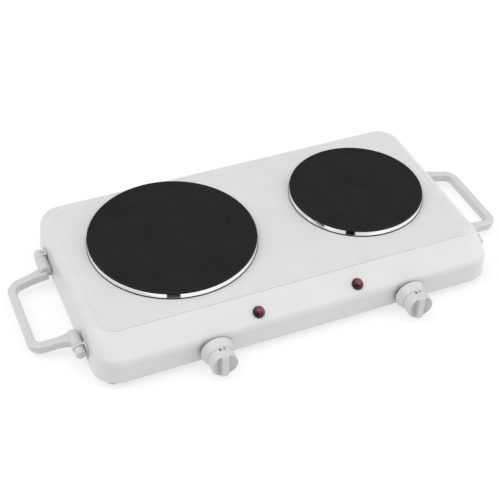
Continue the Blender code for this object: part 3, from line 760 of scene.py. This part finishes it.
def make_plate(size, place):
    """Cast-iron plate: an overhanging rim, and a groove below for the coil."""
    low, high = box(f"{size}_plate")
    spot, radius, body = plate_size(size)
    under = box(f"{size}_plate_cover")[1].z + GAP
    top, groove, wall = high.z, under + GROOVE_DEPTH, body - 6
    profile = filleted([(0, top, 0), (radius, top, RIM_ROUND), (radius, top - PLATE_RIM, 0.4),
                        (body, top - PLATE_RIM, 1.0), (body, under, 0.8), (wall, under, 0.6),
                        (wall, groove, 1.5), (BOSS_R, groove, 1.5), (BOSS_R, under, 0.6),
                        (4, under, 0.8), (4, low.z, 0.5), (0, low.z, 0)], 6)
    plate = lathe(f"{size}_iron_plate", profile, 128, place, 50, closed=False)
    iron = cast_iron(f"{size}_black_iron", spot, radius)
    settle(plate, iron, "housing", "plate_iron", f"{size}_plate")


def make_ring(size, place):
    """Trim ring of bright steel: a leaning face from the rim down to the deck."""
    low, high = box(f"{size}_trim_ring")
    spot, radius, body = plate_size(size)
    inner, edge, foot = body + RING_CLEAR, radius + RING_PAST_RIM, low.z + RING_FOOT
    shoulder = edge - (high.z - foot) * tan(RING_LEAN)
    profile = filleted([(inner, high.z, 0.1), (shoulder, high.z, 0.5),
                        (edge, foot, 0.35), (edge - 1.2, foot - 0.3, 0.2),
                        (edge - 1.2, low.z, 0.1), (edge - 2.2, low.z, 0.1),
                        (edge - 2.2, foot, 0.3), (shoulder - 0.8, high.z - 0.7, 0.4),
                        (inner, high.z - 0.6, 0.1)], 5, True)
    ring = lathe(f"{size}_steel_ring", profile, 128, place, 50)
    steel = spun_steel(f"{size}_spun_steel", spot)
    settle(ring, steel, "housing", "trim_steel", f"{size}_trim_ring")


def make_seal(size, place):
    """Thin black strip between the ring and the deck: painted shade for the shadow line under the
    ring.
    """
    low, _ = box(f"{size}_trim_ring")
    _, radius, _ = plate_size(size)
    edge, foot = radius + RING_PAST_RIM, low.z + RING_FOOT - 0.35
    deck = HOUSING_HIGH.z + 0.05
    profile = filleted([(edge - 2.6, deck, 0), (edge + SHADOW_STRIP_OUT, deck, 0.1),
                        (edge + SHADOW_STRIP_OUT, foot, 0.25), (edge - 1.0, foot, 0.1),
                        (edge - 1.0, low.z - 0.05, 0.05), (edge - 2.6, low.z - 0.05, 0)],
                       3, True)
    shadow_strip = lathe(f"{size}_ring_shadow_strip", profile, 128, place, 50)
    settle(shadow_strip, SHADOW_STRIP_BLACK, "housing", "dark_plastic")


def make_plates():
    for size in SIZES:
        place = below(f"{size}_plate")
        make_plate(size, place)
        make_ring(size, place)
        make_seal(size, place)


# ---------------- controls

KNOB_LENGTH, SKIRT_R, DRUM_R, FRONT_ROUND = 25.5, 17.8, 14.5, 0.9
GRIP_HALF = 3.4  # half the width of the grip bar
POCKET, POCKET_RISE = 6.8, 0.42  # the pockets' depth beside the bar, and their floor's slope
WALL_SLOPE = 5.0  # steepness of the grip bar's sides
FLOOR_BLEND, EDGE_BLEND = 5.0, 0.1  # softness of the pockets' corners and the bar's edges
RIM_CLOSES, CLOSING = 0.6, 6  # share by which the pockets close at the rim, and how late
SKIRT_EDGE, CONE_TOP, CONE_OUT = 1.6, 10.8, 0.3
BORE_R, HUB_R, HOLLOW_TOP = 3.35, 6.5, 9.0
FRONT_R = DRUM_R - FRONT_ROUND  # the front inside the rounded rim

SHADOW_RING_IN, SHADOW_RING_W, SHADOW_RING_T = 0.35, 2.2, 0.9  # in from the skirt's edge, width and thickness of the dark ring of painted shade

PRINT_HEIGHT, PRINT_RAISE = 13.9, 0.04  # the printed marks, from the skirt's rear edge
PRINT_SIZE, DOT_R = 4.2, 1.45
ZERO_TURN, DOT_TURN = 0.20, -0.12  # radians from the top
DIAL_HEIGHT, DIAL_RAISE = 6.4, 0.22  # the raised numerals on the cone
DIAL_SIZE, DIAL_STEP, DIAL_STEPS = 4.6, 50.0, 6
BOLDNESS = 0.035  # how much the figures' strokes are thickened
MARK_ROOT = 0.25  # how far a mark reaches below the surface

FACETS = 10  # round the lens


def scoop_depth(x, y):
    """How far the finger pockets lie behind the front of the grip bar at a point of the front."""
    off = abs(x) - GRIP_HALF
    wall, ramp = off * WALL_SLOPE, POCKET - off * POCKET_RISE
    depth = (wall + ramp - sqrt((wall - ramp) ** 2 + FLOOR_BLEND)) / 2
    depth = (depth + sqrt(depth * depth + EDGE_BLEND)) / 2
    share = min(1.0, sqrt(x * x + y * y) / FRONT_R)
    return depth * (1 - RIM_CLOSES * share ** CLOSING)


def knob_columns():
    """X positions across the knob's front, closest at the edges of the grip bar."""
    shares = (0.0, 0.35, 0.65, 0.85, 0.93, 0.98, 1.02, 1.05, 1.1, 1.18, 1.28)
    half = [GRIP_HALF * share for share in shares]
    start, end = half[-1], FRONT_R * 0.93
    half += [start + (end - start) * i / 11 for i in range(1, 12)]
    half += [FRONT_R * share for share in (0.955, 0.975, 0.99, 1.0)]
    return [-x for x in half[:0:-1]] + half


def knob_back():
    """(radius, height) from the bore, round the hollow skirt and up to the drum."""
    return filleted([(BORE_R, 18, 0), (BORE_R, 0.8, 0.3), (HUB_R, 0.8, 0.4),
                     (HUB_R, HOLLOW_TOP, 0.6), (DRUM_R - 2.5, HOLLOW_TOP, 1.5),
                     (SKIRT_R - 2, 0, 0.3), (SKIRT_R, 0, 0.5), (SKIRT_R, SKIRT_EDGE, 0.4),
                     (DRUM_R + CONE_OUT, CONE_TOP, 0.4), (DRUM_R - 0.6, 11.0, 0.2),
                     (DRUM_R - 0.6, 11.9, 0.2), (DRUM_R, 12.1, 0.15), (DRUM_R, 12.5, 0)])


def knob_front(bm, columns, ends, rows):
    """Points of the knob's front, by column and row.  An end column is a single point."""
    last = len(columns) - 1
    grid = {}
    for j, x in enumerate(columns):
        for k in range(rows + 1):
            if k and j in (0, last):
                grid[j, k] = grid[j, 0]
                continue
            y = ends[j] * (1 - 2 * k / rows)
            grid[j, k] = bm.verts.new((x, y, KNOB_LENGTH - scoop_depth(x, y)))
    return grid


def knob_shape():
    """The knob about its axis: x across, y up, z forward from the skirt's rear edge.

    The front is a grid of columns that follows the scoops, and every ring of the round part
    takes its angles from the ends of those columns, so the two join point to point.
    """
    bm = bmesh.new()
    columns = knob_columns()
    last, rows = len(columns) - 1, 28
    ends = [sqrt(max(0.0, FRONT_R * FRONT_R - x * x)) for x in columns]
    order = [(last, 0)] + [(j, 1) for j in range(last - 1, 0, -1)] + [(0, 0)]
    order += [(j, -1) for j in range(1, last)]
    angles = [atan2(sign * ends[j], columns[j]) for j, sign in order]

    def ring(radius, height, follow=0.0):
        depths = [follow * scoop_depth(FRONT_R * cos(a), FRONT_R * sin(a)) for a in angles]
        return [bm.verts.new((radius * cos(a), radius * sin(a), height - depth))
                for a, depth in zip(angles, depths)]

    rings = [ring(radius, height) for radius, height in knob_back()]
    for i in range(6):
        turn = pi / 2 * i / 6
        rings.append(ring(FRONT_R + FRONT_ROUND * cos(turn),
                          KNOB_LENGTH - FRONT_ROUND * (1 - sin(turn)), 1.0))
    grid = knob_front(bm, columns, ends, rows)
    rings.append([grid[j, 0 if sign >= 0 else rows] for j, sign in order])
    join_rings(bm, rings)
    bm.faces.new(rings[0][::-1])
    for j in range(last):
        for k in range(rows):
            add_face(bm, (grid[j, k], grid[j, k + 1], grid[j + 1, k + 1], grid[j + 1, k]))
    return bm


def felt_profile():
    """Flat dark ring behind the skirt: painted shade for the gap's shadow between knob and wall.
    """
    outer = SKIRT_R - SHADOW_RING_IN
    inner = outer - SHADOW_RING_W
    return filleted([(inner, -SHADOW_RING_T, 0.2), (outer, -SHADOW_RING_T, 0.2), (outer, 0.1, 0.1),
                     (inner, 0.1, 0.1)], 3, True)


def numeral(text, height):
    """One character as a thin solid, centred, x across and y up."""
    curve = bpy.data.curves.new("numeral", "FONT")
    curve.body = text
    curve.size = height
    curve.align_x, curve.align_y = "CENTER", "CENTER"
    curve.resolution_u = 4
    curve.extrude = 0.5
    curve.offset = height * BOLDNESS
    item = bpy.data.objects.new("numeral", curve)
    bpy.context.scene.collection.objects.link(item)
    graph = bpy.context.evaluated_depsgraph_get()
    mesh = bpy.data.meshes.new_from_object(item.evaluated_get(graph))
    bm = bmesh.new()
    bm.from_mesh(mesh)
    bmesh.ops.remove_doubles(bm, verts=bm.verts, dist=1e-4)
    bpy.data.objects.remove(item)
    bpy.data.meshes.remove(mesh)
    return bm


def wrapped(bm, turn, middle_height, lift):
    """A flat mark bent round the drum or the cone below it, turn radians from the top."""
    for vert in bm.verts:
        x, y, up = vert.co
        height = middle_height - y
        slope = max(0.0, CONE_TOP - height) / (CONE_TOP - SKIRT_EDGE)
        radius = DRUM_R + slope * (SKIRT_R - DRUM_R)
        if height < CONE_TOP:
            radius += CONE_OUT * (1 - slope)
        angle = pi / 2 - turn - x / radius
        radius += lift if up > 0 else -MARK_ROOT
        vert.co = (radius * cos(angle), radius * sin(angle), height)
    return bm


def make_knob(side):
    """The knob with its dark ring of painted shade behind the skirt, printed dot and 0, and raised
    numerals.
    """
    low, high = box(f"{side}_knob")
    joint = Matrix.Translation(((low.x + high.x) / 2, high.y, (low.z + high.z) / 2))
    place = joint @ Matrix.Rotation(pi / 2, 4, "X")
    body = f"{side}_control"
    knob = make_object(f"{side}_dial_knob", knob_shape(), place)
    smooth(knob, 48)
    settle(knob, WHITE_PLASTIC, body, "white_plastic", f"{side}_knob")

    # painted shade: the dark ring behind the skirt stands in for the shadow in the gap to the wall
    shadow_ring = lathe(f"{side}_skirt_shadow_ring", felt_profile(), 96, place, 50)
    settle(shadow_ring, SHADOW_RING_GREY, body, "dark_plastic")

    dot = rod((0, 0, -0.5), (0, 0, 0.5), DOT_R, 24)
    marks = [wrapped(numeral("0", PRINT_SIZE), ZERO_TURN, PRINT_HEIGHT, PRINT_RAISE),
             wrapped(dot, DOT_TURN, PRINT_HEIGHT, PRINT_RAISE)]
    dial = make_object(f"{side}_dial_mark", merged(marks), place)
    settle(dial, INK, body, "dark_plastic")

    figures = [wrapped(numeral(str(n), DIAL_SIZE), radians(DIAL_STEP * n), DIAL_HEIGHT, DIAL_RAISE)
               for n in range(1, DIAL_STEPS + 1)]
    raised = make_object(f"{side}_dial_numbers", merged(figures), place)
    settle(raised, WHITE_PLASTIC, body, "white_plastic")


def lens_shape():
    """Faceted jewel: a collar, two tiers of triangles and a flat table."""
    bm = turned(filleted([(0, -5, 0), (4.6, -5, 0.2), (4.6, GAP, 0), (6.75, GAP, 0.15),
                          (6.75, 1.3, 0.3), (6.2, 1.5, 0)], 3), FACETS)
    lower = [v for v in bm.verts if v.co.z > 1.45]
    lower.sort(key=lambda v: atan2(v.co.y, v.co.x) % (2 * pi))
    for radius, height, twist in ((4.7, 4.3, 0.5), (2.5, 5.8, 1.0)):
        angles = [2 * pi * (i + twist) / FACETS for i in range(FACETS)]
        upper = [bm.verts.new((radius * cos(a), radius * sin(a), height)) for a in angles]
        for i in range(FACETS):
            j = (i + 1) % FACETS
            bm.faces.new((lower[i], lower[j], upper[i]))
            bm.faces.new((lower[j], upper[j], upper[i]))
        lower = upper
    bm.faces.new(lower)
    return bm


def make_lamp(side):
    lens = make_object(f"{side}_jewel_lens", lens_shape(), lamp_frame(side))
    soften(lens, width=0.12, segments=1, angle=12)
    red = jewel(f"{side}_lens_red", middle(f"{side}_lamp_lens"))
    settle(lens, red, "housing", "lens_red", f"{side}_lamp_lens")


# ---------------- handles

BAR_W, BAR_H, BAR_BEND, BAR_ROUND = 9.4, 10.4, 12.0, 1.8
BAR_OUT, BAR_DROP = 47.1, 4.25  # hinge axis to the bar's outer edge, and down to the arms
ARM_OUT_Y, ARM_HUB_Y = 50.0, 53.8  # middle of the handle to the arms, outside and at the hinge
DROOP = radians(8.5)
FLARE = 5.0  # how much wider each arm is at its hub
BARREL_R, BARREL_START, BARREL_END = 6.5, 50.0, 71.0
HEEL_DROP, HEEL_GAP = 1.1, 0.6  # the stop block below each hub, and its gap to the wall
HEEL_START, HEEL_END, HEEL_TOP = 1.0, 10.0, 3.0  # along the hub, and below its axis
CAP_SWELL = 0.9  # how much rounder the pin's cap is than its CAD node
BRACKET_T, LUG_T = 1.3, 3.4
STUD_OUT, STUD_R = 7.0, 2.4  # the bracket's stud, from the hub's end, and its radius


def bar_path():
    """Centre line of the level bar from the front hub to the rear hub, with its flare."""
    out = BAR_OUT - BAR_W / 2
    arm = [(0.0, 1.0), (2.5, 0.95), (5.0, 0.8), (8.0, 0.55), (11.0, 0.32), (14.5, 0.12),
           (18.0, 0.0), (out - BAR_BEND, 0.0)]
    spread = (ARM_HUB_Y - ARM_OUT_Y) / (out - BAR_BEND)
    front = [(x, -ARM_HUB_Y + spread * x, flare) for x, flare in arm]
    front += [(out - BAR_BEND * (1 - sin(angle)), -ARM_OUT_Y + BAR_BEND * (1 - cos(angle)), 0.0)
              for angle in (pi / 2 * i / 10 for i in range(1, 11))]
    return front + [(x, -y, flare) for x, y, flare in front[::-1]]


def bar_shape(sign):
    """The rounded bar along its path, drooping from the hinge."""
    path = bar_path()
    loops = []
    for i, (x, y, flare) in enumerate(path):
        before, after = path[max(i - 1, 0)], path[min(i + 1, len(path) - 1)]
        along = Vector((after[0] - before[0], after[1] - before[1], 0)).normalized()
        across = Vector((-along.y, along.x, 0))
        width = BAR_W + FLARE * flare
        section = rounded_rect(-width / 2, width / 2, -BAR_H / 2, BAR_H / 2, BAR_ROUND, 5)
        loop = [Vector((x, y, -BAR_DROP)) + across * a + Vector((0, 0, up)) for a, up in section]
        loops.append([(sign * p.x, p.y, p.z) for p in loop])
    return moved(loft(loops), Matrix.Rotation(sign * DROOP, 4, "Y"))


def wall_x(z):
    """Distance of the leaning end wall from the middle at height z."""
    return HOUSING_HIGH.x - end_lean(z)


def make_handle(side):
    """One moulding: the bar, its two hubs and the stop blocks under them."""
    sign = SIDES[side]
    joint = next(j for j in frame["joints"] if j["name"] == f"{side}_handle_fold")
    pivot = Vector(joint["pos_m"]) / MM
    shapes = [bar_shape(sign)]
    for end in (-1, 1):
        shapes.append(rod((0, end * BARREL_START, 0), (0, end * BARREL_END, 0), BARREL_R, 64))
        low = -BARREL_R - HEEL_DROP
        reach = abs(pivot.x) - wall_x(pivot.z + low) - HEEL_GAP
        x0, x1 = sorted((-sign * 1.0, -sign * reach))
        y0, y1 = sorted(end * (BARREL_START + y) for y in (HEEL_START, HEEL_END))
        shapes.append(block(x0, x1, y0, y1, low, -HEEL_TOP))
    shapes = [moved(shape, Matrix.Translation(pivot)) for shape in shapes]
    handle = moulded(f"{side}_carry_bar", shapes, voxel=0.5, passes=4)
    settle(handle, WHITE_PLASTIC, f"{side}_carry_handle", "white_plastic", f"{side}_handle")
    for end in ("front", "rear"):
        make_hinge(side, end, pivot)


def make_hinge(side, end, pivot):
    """Moulded bracket with its lug and stud, and the capped pin through it."""
    sign = SIDES[side]
    name = f"{side}_{end}"
    low, high = box(f"{name}_bracket")
    far = 1 if end == "rear" else -1
    lug_in, tip = (low.y, high.y) if far > 0 else (high.y, low.y)
    lug_out = lug_in + far * LUG_T

    def off_wall(z, out):
        return sign * (wall_x(z) + out), z

    foot = [off_wall(low.z, GAP), off_wall(high.z, GAP),
            off_wall(high.z, GAP + BRACKET_T), off_wall(low.z, GAP + BRACKET_T)]
    eye = BARREL_R - 0.2
    lug = [off_wall(pivot.z - eye, 2 * GAP), off_wall(pivot.z + eye, 2 * GAP)]
    lug += [(pivot.x + sign * eye * sin(radians(a)), pivot.z + eye * cos(radians(a)))
            for a in range(0, 181, 6)]
    stud_y = pivot.y + far * (BARREL_END + STUD_OUT)
    stud_x = off_wall(pivot.z, GAP + 0.5)[0]
    stud = rod((stud_x, stud_y, pivot.z), (stud_x - sign * 5.0, stud_y, pivot.z), STUD_R)
    shapes = [slab(foot, lug_in, tip), slab(lug, lug_in, lug_out), stud]
    bracket = moulded(f"{name}_hinge_bracket", shapes, voxel=0.28, passes=3)
    settle(bracket, WHITE_PLASTIC, "housing", "white_plastic", f"{name}_bracket")
    make_pin(name, far, pivot, lug_out)


def make_pin(name, far, pivot, lug_out):
    """Pin from inside the hub through the lug, with a round cap outside it."""
    low, high = box(f"{name}_hinge_pin")
    blind, tip = (low.y, high.y) if far > 0 else (high.y, low.y)
    seat = abs(lug_out - blind) + GAP
    length = abs(tip - blind)
    cap = (high.z - low.z) / 2 + CAP_SWELL
    profile = filleted([(0, 0, 0), (2.0, 0, 0.3), (2.0, seat, 0), (cap - 0.2, seat, 0.5),
                        (cap, seat + 3, 0.8), (cap - 0.1, length, 2.0), (0, length, 0)], 6)
    turn = Matrix.Rotation(-far * pi / 2, 4, "X")
    place = Matrix.Translation((pivot.x, blind, pivot.z)) @ turn
    pin = lathe(f"{name}_capped_pin", profile, 48, place, 50, closed=False)
    settle(pin, WHITE_PLASTIC, "housing", "white_plastic", f"{name}_hinge_pin")


RIBS, RIB_START, RIB_PITCH = 3, 4.4, 2.4
BUSH_R, FLANGE_R, NECK_R = 3.8, 9.0, 6.3  # bore, both flanges, and the neck in the wall


def make_gland():
    """Ribbed strain-relief bush in the rear wall."""
    spot = middle("cord_gland")
    out = box("cord_gland")[1].y - REAR_WALL
    back = -SHEET - GAP
    corners = [(BUSH_R, -6, 0.2), (FLANGE_R, -6, 0.4), (FLANGE_R, back, 0.2), (NECK_R, back, 0),
               (NECK_R, GAP, 0), (FLANGE_R, GAP, 0.3), (FLANGE_R, 3.0, 0.6), (7.6, 3.6, 0.4)]
    for i in range(RIBS):
        foot, taper = RIB_START + i * RIB_PITCH, 7.4 - 0.4 * i
        corners += [(taper, foot, 0.2), (taper - 1.1, foot + 0.3, 0.2),
                    (taper - 1.1, foot + 1.0, 0.2), (taper, foot + 1.3, 0.2)]
    corners += [(6.2, out, 0.5), (BUSH_R, out, 0.4)]
    place = Matrix.Translation((spot.x, REAR_WALL, spot.z)) @ Matrix.Rotation(-pi / 2, 4, "X")
    gland = lathe("cord_bush", filleted(corners, 3, True), 48, place, 45)
    settle(gland, DARK_PLASTIC, "housing", "dark_plastic", "cord_gland")


# ---------------- CAD nodes that stay

STAYING = {
    "heat_shield": BRIGHT_SHEET, "mains_terminal_block": CERAMIC,
    "heating_coil": COIL, "plate_cover": ZINC, "clamp_strap": ZINC, "clamp_nut": ZINC,
    "plate_terminal": CERAMIC, "thermal_cutout": DARK_PLASTIC,
    "thermostat": CERAMIC, "thermostat_shaft": ZINC, "thermostat_left_screw": ZINC,
    "thermostat_right_screw": ZINC, "lamp_holder": DARK_PLASTIC,
    "live_wire": SLEEVE, "heater_wire": SLEEVE, "neutral_wire": SLEEVE,
}


def dress_cad_nodes():
    """Gives the CAD nodes that keep their shape a better material, on every side and plate."""
    for owner in ("", "large_", "small_", "left_", "right_"):
        for part, finish in STAYING.items():
            if owner + part in frame["nodes"]:
                node = frame["nodes"][owner + part]
                node.data.materials.clear()
                node.data.materials.append(finish)


# ---------------- studio

# soft boxes of the dome: bearing from straight in front, height in degrees, sharpness, strength
BOXES = ((0.0, 90.0, 6.0, 0.75), (60.0, 45.0, 6.0, 1.8), (-60.0, 55.0, 6.0, 0.95),
         (-115.0, 53.0, 6.0, 1.95), (45.0, 8.0, 10.0, 0.6), (90.0, 8.0, 10.0, 1.1),
         (135.0, 8.0, 10.0, 0.5), (-135.0, 8.0, 10.0, 0.3))
HORIZON_GLOW, HORIZON_SHARPNESS = 0.75, 40.0
FLOOR_HALF, FLOOR_GLOW = 40000.0, 0.66
STAND_W, STAND_H = 250.0, 300.0
CLIP_NEAR, CLIP_FAR = 0.05, 100.0  # metres


def make_floor():
    """A light table: pale paper that also glows, so shadows on it stay faint."""
    bm = bmesh.new()
    bmesh.ops.create_grid(bm, x_segments=2, y_segments=2, size=FLOOR_HALF)
    floor = make_object("studio_floor", bm)
    f = Finish("studio_paper", 0.9, Specular_IOR_Level=0.0, Emission_Strength=FLOOR_GLOW,
               Emission_Color=(1.0, 1.0, 1.0, 1.0))
    drift(f, f.noise(400.0, 2.0), (0.32, 0.32, 0.32), 0.03125)
    floor.data.materials.append(f.done())


def make_stand():
    """The dark camera stand, which only shows where the trim rings mirror it."""
    back = Vector((sin(AZIMUTH), -cos(AZIMUTH), 0))
    spot = Vector((*AIM[:2], 0)) + back * DISTANCE * cos(ELEVATION)
    half = STAND_W / 2
    corners = [(-half, 0, 0), (half, 0, 0), (half, 0, STAND_H), (-half, 0, STAND_H)]
    bm = bmesh.new()
    bm.faces.new([bm.verts.new(corner) for corner in corners])
    place = Matrix.Translation(spot) @ Matrix.Rotation(AZIMUTH, 4, "Z")
    stand = make_object("camera_stand", bm, place)
    f = Finish("black_cloth", 1.0, Specular_IOR_Level=0.0)
    f.colour(f.mix(f.noise(3.0, 2.0), (0.003, 0.003, 0.003), (0.006, 0.006, 0.006)))
    stand.data.materials.append(f.done())
    stand.visible_camera = False
    stand.visible_diffuse = False
    stand.visible_shadow = False


def make_camera():
    back = Vector((sin(AZIMUTH) * cos(ELEVATION), -cos(AZIMUTH) * cos(ELEVATION), sin(ELEVATION)))
    level = Vector((cos(AZIMUTH), sin(AZIMUTH), 0))
    upright = back.cross(level)
    right = level * cos(ROLL) + upright * sin(ROLL)
    up = upright * cos(ROLL) - level * sin(ROLL)
    data = bpy.data.cameras.new("camera")
    data.sensor_width, data.lens = SENSOR, LENS
    data.clip_start, data.clip_end = CLIP_NEAR, CLIP_FAR
    camera = bpy.data.objects.new("camera", data)
    bpy.context.scene.collection.objects.link(camera)
    placed = Matrix((right, up, back)).transposed().to_4x4()
    placed.translation = (Vector(AIM) + back * DISTANCE) * MM
    camera.matrix_world = placed
    bpy.context.scene.camera = camera


def make_lights():
    """A dome with a few broad soft boxes and a low glow all round the horizon."""
    world = bpy.data.worlds.new("studio")
    world.use_nodes = True
    dome = Nodes(world.node_tree)
    place = dome.node("ShaderNodeTexCoord").outputs["Generated"]

    def towards(direction):
        made = dome.node("ShaderNodeVectorMath", operation="DOT_PRODUCT")
        made.inputs[1].default_value = direction
        dome.join(place, made.inputs[0])
        return made.outputs["Value"]

    rise = towards((0, 0, 1))
    level = dome.maths("SUBTRACT", 1.0, dome.times(rise, rise))
    glow = dome.maths("POWER", level, HORIZON_SHARPNESS)
    bright = dome.times(glow, HORIZON_GLOW)
    for bearing, height, sharpness, strength in BOXES:
        a, e = radians(bearing), radians(height)
        facing = towards((sin(a) * cos(e), -cos(a) * cos(e), sin(e)))
        lobe = dome.maths("POWER", dome.maths("MAXIMUM", facing, 0.0), sharpness)
        bright = dome.maths("ADD", bright, dome.times(lobe, strength))
    sky = dome.tree.nodes["Background"]
    dome.join(bright, sky.inputs["Strength"])
    sky.inputs["Color"].default_value = (1.0, 1.0, 1.0, 1.0)
    bpy.context.scene.world = world
    bpy.context.scene.view_settings.view_transform = "Standard"


make_camera()
make_lights()
make_floor()
make_stand()
make_housing()
make_base()
make_feet()
make_plates()
for control_side in SIDES:
    make_knob(control_side)
    make_lamp(control_side)
    make_handle(control_side)
make_gland()
dress_cad_nodes()
